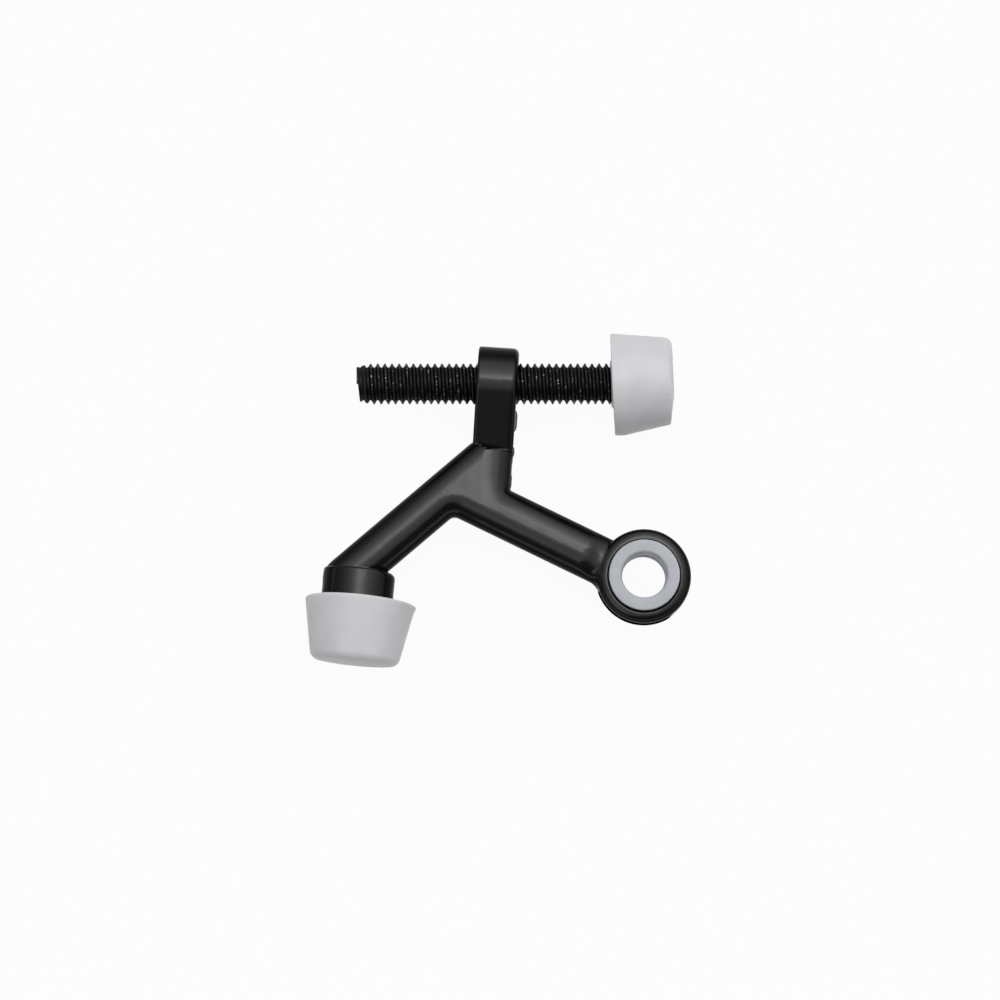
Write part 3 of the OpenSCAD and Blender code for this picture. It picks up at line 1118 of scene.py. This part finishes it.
@dataclass
class Bumper:
    """Rubber bumper: a cup with a thin lip at its mouth and a domed end.

    It is soft, so its mouth leans, its axis bends and its lower side sags a little. Each
    row of the cuff's shape says how far it lies outside the socket, how far back from the
    cuff's rim, and which share of the cuff's length it stands out. The end's corner has
    its low radius below, and that share of it at the sides.
    """

    length: float
    mouth_r: float
    end_r: float
    socket_r: float
    socket_depth: float
    low_corner: float
    corner: float = 1.8
    socket_edge: float = 0.4
    lip: float = 0.4
    dome: float = 0.4
    dome_shares: tuple = (0.93, 0.85, 0.75, 0.65, 0.45, 0.25, 0.1)
    lean_aside: float = 0.0
    mouth_lean: Point = (0.0, 0.0)
    end_lean: Point = (0.0, 0.0)
    lean_fade: float = 2.0
    sag: float = 0.0
    sag_at: float = 1.9
    flare: float = 0.0
    flare_len: float = 0.7
    cuff: float = 0.0
    cuff_shape: tuple = ((0.05, 0.15, 1.0), (0.35, 0.0, 1.0), (0.65, 0.0, 0.4), (0.9, 0.0, 0.0))
    wall_points: int = 24
    wall_margin: float = 0.04
    corner_end: float = 84.0
    low_share: float = 0.5
    low_spread: float = 1.2
    sag_power: float = 1.5
    flare_power: float = 3.0
    segments: int = 160

    def profile(self, corner: float) -> Array:
        """Outline from the middle of the socket's floor round to the middle of the end.

        Args:
            corner: Radius of the edge at the end.

        Returns:
            Points (radius, height), one a row.
        """
        flat = self.length - self.dome
        slope = math.atan((self.mouth_r - self.end_r) / flat)
        tan, cos, sin = math.tan(slope), math.cos(slope), math.sin(slope)
        lean = math.degrees(slope)
        mouth = self.mouth_r - self.lip * (tan + 1 / cos)
        end = self.mouth_r - (flat - corner) * tan - corner / cos
        wall, floor, step = self.socket_r, self.socket_depth, self.socket_edge
        points = [(0.0, floor), (wall - step, floor), (wall, floor - step)]
        points += [(wall, z) for z in np.linspace(floor - 2 * step, step, 5)]
        points += [(wall + out, back - share * self.cuff) for out, back, share in self.cuff_shape]
        points += [(r, 0.0) for r in np.linspace(points[-1][0] + step, mouth - step, 6)]
        points += arc((mouth, self.lip), self.lip, -90, lean, 6)
        low = np.array(points[-1])
        high = np.array([end + corner * cos, flat - corner * (1 - sin)])
        shares = np.linspace(self.wall_margin, 1 - self.wall_margin, self.wall_points)
        points += [tuple(low * (1 - t) + high * t) for t in shares]
        points += arc((end, flat - corner), corner, lean, self.corner_end, 10)
        r, z = points[-1]
        points += [(r * t, z + (self.length - z) * (1 - t * t)) for t in self.dome_shares]
        return np.array([*points, (0.0, self.length)])

    def bend(self, points: Array) -> Array:
        """Leans, sags and flares a straight bumper.

        Args:
            points: Points of the straight bumper, its mouth's middle at the origin.

        Returns:
            The moved points.
        """
        x, y, z = points.T
        r = np.hypot(x, y)
        way = y / np.maximum(r, TINY)
        share = np.clip(z / self.length, 0, 1)
        outer = np.clip((r - self.socket_r) / self.lean_fade, 0, 1)
        fall = np.clip((self.length - z) / (self.length - self.sag_at), 0, 1)
        sag = self.sag * np.clip(-way, 0, 1) ** self.sag_power
        sag = sag * np.minimum(np.clip(z / self.sag_at, 0, 1), fall)
        flare = self.flare * np.clip(way, 0, 1) ** self.flare_power
        flare = flare * np.exp(-((z / self.flare_len) ** 2))
        k = 1 + (sag + flare) * outer / np.maximum(r, TINY)
        shift = math.tan(math.radians(self.lean_aside)) * (z - self.length / 2) * outer
        tilt_x, tilt_y = (
            np.tan(np.radians(a + (b - a) * share)) * outer
            for a, b in zip(self.mouth_lean, self.end_lean)
        )
        return np.column_stack([x * k, y * k + shift, z - tilt_x * x - tilt_y * y])

    def unroll(self, piece: Piece, points: Array) -> None:
        """Gives a piece a UV map that runs round it and along it, in metres.

        Args:
            piece: The piece.
            points: Its points before they were bent and laid in place.
        """
        angle = np.arctan2(points[:, 1], points[:, 0])
        marks = np.column_stack([angle * self.mouth_r, points[:, 2]]) * MM
        corners = np.empty(len(piece.data.loops), int)
        piece.data.loops.foreach_get("vertex_index", corners)
        spread = marks[corners]
        turn = 2 * math.pi * self.mouth_r * MM
        polygons = piece.data.polygons
        starts = np.repeat([p.loop_start for p in polygons], [p.loop_total for p in polygons])
        spread[:, 0] -= turn * np.round((spread[:, 0] - spread[starts, 0]) / turn)
        layer = piece.data.uv_layers.new(name="round_and_along")
        layer.data.foreach_set("uv", spread.ravel().astype(np.float32))

    def build(self, name: str, origin: Array, direction: float, material: Material) -> Piece:
        """Turns the bumper and lays it in place.

        Args:
            name: Name of the piece.
            origin: Middle of its mouth.
            direction: Angle that it points at.
            material: Its finish.

        Returns:
            The piece.
        """
        points, faces = lathe(self.profile(self.corner), self.segments)
        sharp, _ = lathe(self.profile(self.low_corner), self.segments)
        r = np.maximum(np.hypot(points[:, 0], points[:, 1]), TINY)
        low = np.clip(self.low_share - self.low_spread * points[:, 1] / r, 0, 1)[:, None]
        points = points * (1 - low) + sharp * low
        piece = make_object(name, turn_to(self.bend(points), origin, direction), faces, material)
        self.unroll(piece, points)
        return piece


@dataclass
class DoorBumper(Bumper):
    """Bumper on the rod's end, tilted a little about its own middle."""

    length: float = 12.0
    mouth_r: float = 10.1
    end_r: float = 8.55
    socket_r: float = 4.1
    socket_depth: float = 9.1
    low_corner: float = 0.35
    lip: float = 0.22
    lean_aside: float = 1.6
    mouth_lean: Point = (2.5, 0.7)
    end_lean: Point = (0.5, -2.4)
    sag: float = 0.33
    cuff: float = 0.4
    mouth_x: float = -5.95
    lift: float = 0.22
    tilt: float = 1.8

    def on_rod(self, rise: float, material: Material) -> Piece:
        """Builds the bumper on the rod.

        Args:
            rise: Height of the rod's axis over the ring's middle.
            material: Its finish.

        Returns:
            The piece.
        """
        half = self.length / 2
        middle = np.array([self.mouth_x + half, rise + self.lift])
        mouth = middle - along(self.tilt) * half
        return self.build("door_bumper_rubber", mouth, self.tilt, material)


@dataclass
class JambBumper(Bumper):
    """Bumper stretched over the casting's boss."""

    length: float = 12.4
    mouth_r: float = 10.85
    end_r: float = 8.6
    socket_r: float = 6.95
    socket_depth: float = 2.7
    low_corner: float = 1.9
    mouth_lean: Point = (3.5, 0.0)
    end_lean: Point = (0.5, 0.0)
    flare: float = 0.3
    mouth_at: float = 6.2
    aside: float = 0.7

    def on_boss(self, casting: Casting, material: Material) -> Piece:
        """Builds the bumper on the boss.

        Args:
            casting: The casting.
            material: The bumper's finish.

        Returns:
            The piece.
        """
        mouth = casting.boss_top + along(casting.boss_dir) * self.mouth_at
        mouth = mouth + casting.boss_side * self.aside
        return self.build("jamb_bumper_rubber", mouth, casting.boss_dir, material)


# The studio


@dataclass(frozen=True)
class SoftLight:
    """Large soft light far away, brightest in its middle and fading evenly outwards.

    A light may have a straight lower edge and straight sides, past which only a share is left.
    """

    direction: tuple[float, float, float]
    level: float
    focus: float
    below: float = 1.0
    beside: float = 1.0
    low_edge: Point = (0.03, 0.13)
    left_edge: Point = (-0.16, 0.0)
    right_edge: Point = (0.48, 0.32)

    def glow(self, sky: Nodes, place: Socket) -> Socket:
        """Adds the light to a world.

        Args:
            sky: The world's nodes.
            place: The direction that is looked in.

        Returns:
            The light's strength in that direction.
        """
        aim = {0: place, 1: Vector(self.direction).normalized()}
        dot = sky.add("ShaderNodeVectorMath", aim, operation="DOT_PRODUCT").outputs["Value"]
        off = sky.math("MULTIPLY", sky.math("SUBTRACT", dot, 1.0), self.focus)
        glow = sky.math("MULTIPLY", sky.math("EXPONENT", off), self.level)
        parts = sky.add("ShaderNodeSeparateXYZ", {0: place}).outputs
        edges = (
            ("Y", self.low_edge, self.below),
            ("X", self.left_edge, self.beside),
            ("X", self.right_edge, self.beside),
        )
        for axis, (start, end), left in edges:
            if left == 1:
                continue
            span = {"Value": parts[axis], "From Min": start, "From Max": end, "To Min": left}
            edge = sky.add("ShaderNodeMapRange", span, interpolation_type="SMOOTHSTEP")
            glow = sky.math("MULTIPLY", glow, edge.outputs["Result"])
        return glow


@dataclass
class Studio:
    """Camera, soft lights, white floor and backdrop."""

    pitch: float = 7.0
    distance: float = 800.0
    pixel: float = 0.19698
    ring_px: Point = (643.3, 577.0)
    frame_px: float = 1000.0
    sensor: float = 36.0
    clip: Point = (10.0, 50000.0)
    floor_z: float = -11.5
    floor_size: float = 6000.0
    floor_grey: float = 0.62
    floor_white: float = 0.95
    ambient: float = 0.07
    backdrop_top: float = 0.12
    lights: tuple = (
        SoftLight((0.126, -0.1, 0.987), 5.4, 13.9, below=0.0, beside=0.5),
        SoftLight((0.23, 0.41, 0.88), 1.5, 2.84, below=0.12, low_edge=(-0.6, -0.38)),
        SoftLight((-0.45, -0.43, 0.78), 1.3, 24.0),
    )

    def camera(self) -> None:
        """Sets up the camera at the photograph's angle."""
        turn = math.radians(self.pitch)
        up = Vector((0, math.cos(turn), math.sin(turn)))
        back = Vector((0, -math.sin(turn), math.cos(turn)))
        right_px = self.frame_px / 2 - self.ring_px[0]
        up_px = self.ring_px[1] - self.frame_px / 2
        look = Vector((right_px * self.pixel, up_px * self.pixel / math.cos(turn), 0))
        data = bpy.data.cameras.new("camera")
        data.sensor_width = self.sensor
        data.lens = self.sensor * self.distance / (self.frame_px * self.pixel)
        data.clip_start, data.clip_end = (c * MM for c in self.clip)
        camera = link_object("camera", data)
        camera.matrix_world = Matrix(
            ((1, up.x, back.x, 0), (0, up.y, back.y, 0), (0, up.z, back.z, 0), (0, 0, 0, 1))
        )
        camera.location = (look + back * self.distance) * MM
        bpy.context.scene.camera = camera

    def floor(self) -> None:
        """Lays a floor that the camera and mirrors see white and that keeps the shadow."""
        s = Shader("white_floor")
        s.set(Base_Color=(*(self.floor_grey,) * 3, 1), Roughness=0.9)
        rays = s.add("ShaderNodeLightPath").outputs
        seen = s.math("MAXIMUM", rays["Is Camera Ray"], rays["Is Transmission Ray"])
        share = s.math("MULTIPLY", s.math("MAXIMUM", seen, rays["Is Glossy Ray"]), self.floor_white)
        glow = s.add("ShaderNodeEmission", {"Color": (1, 1, 1, 1), "Strength": 1.0}).outputs[0]
        mix = s.add("ShaderNodeMixShader", {0: share, 1: s.surface.outputs[0], 2: glow})
        s.feed(s.tree.nodes["Material Output"].inputs["Surface"], mix.outputs[0])
        size, z = self.floor_size, self.floor_z
        corners = [(-size, -size, z), (size, -size, z), (size, size, z), (-size, size, z)]
        make_object("floor", np.array(corners), [[0, 1, 2, 3]], s.material)

    def world(self) -> None:
        """Surrounds the scene with the soft lights and a white backdrop near the horizon."""
        world = bpy.data.worlds.new("studio")
        world.use_nodes = True
        bpy.context.scene.world = world
        sky = Nodes(world.node_tree)
        sky.tree.nodes.clear()
        place = sky.add("ShaderNodeTexCoord").outputs["Generated"]
        total = self.ambient
        for light in self.lights:
            total = sky.math("ADD", total, light.glow(sky, place))
        height = sky.add("ShaderNodeSeparateXYZ", {0: place}).outputs["Z"]
        low = sky.math("SUBTRACT", 1.0, sky.math("DIVIDE", height, self.backdrop_top))
        low = sky.math("MINIMUM", sky.math("MAXIMUM", low, 0.0), 1.0)
        rays = sky.add("ShaderNodeLightPath").outputs
        mirrored = sky.math("MAXIMUM", rays["Is Glossy Ray"], rays["Is Transmission Ray"])
        total = sky.math("MAXIMUM", total, sky.math("MULTIPLY", low, mirrored))
        total = sky.math("MAXIMUM", total, rays["Is Camera Ray"])
        shade = sky.add("ShaderNodeBackground", {"Color": (1, 1, 1, 1), "Strength": total})
        sky.add("ShaderNodeOutputWorld", {0: shade.outputs[0]})

    def build(self) -> None:
        """Sets up the whole studio."""
        bpy.context.scene.view_settings.view_transform = "Standard"
        self.camera()
        self.floor()
        self.world()


# The whole stop


def report(piece: Piece, body: Body, node: str) -> None:
    """Ties a piece to what it belongs to and logs it.

    Args:
        piece: The piece.
        body: The body that it rides on.
        node: The CAD node that it stands for.
    """
    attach(piece, body.value)
    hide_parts(node)
    LOG.info("%s: %d faces, stands for %s", piece.name, len(piece.data.polygons), node)


def main() -> None:
    """Builds the studio and every piece of the door stop."""
    logging.basicConfig(level=logging.INFO, format="%(name)s: %(message)s")
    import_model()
    Studio().build()
    casting = Casting()
    rise = casting.rod_rise
    nylon, rubber = Nylon().material(), Rubber().material()
    report(casting.build(SatinCoat().material()), Body.CASTING, "cast_body")
    for node, side in (("upper_bushing", 1), ("lower_bushing", -1)):
        bushing = Bushing(casting.ring_half).build(node + "_skin", side, nylon)
        report(bushing, Body.CASTING, node)
    report(Rod(rise).build(BlackOxide(rise).material()), Body.ROD, "threaded_rod")
    report(DoorBumper().on_rod(rise, rubber), Body.CAP, "door_bumper")
    report(JambBumper().on_boss(casting, rubber), Body.CASTING, "jamb_bumper")


if __name__ == "__main__":
    main()
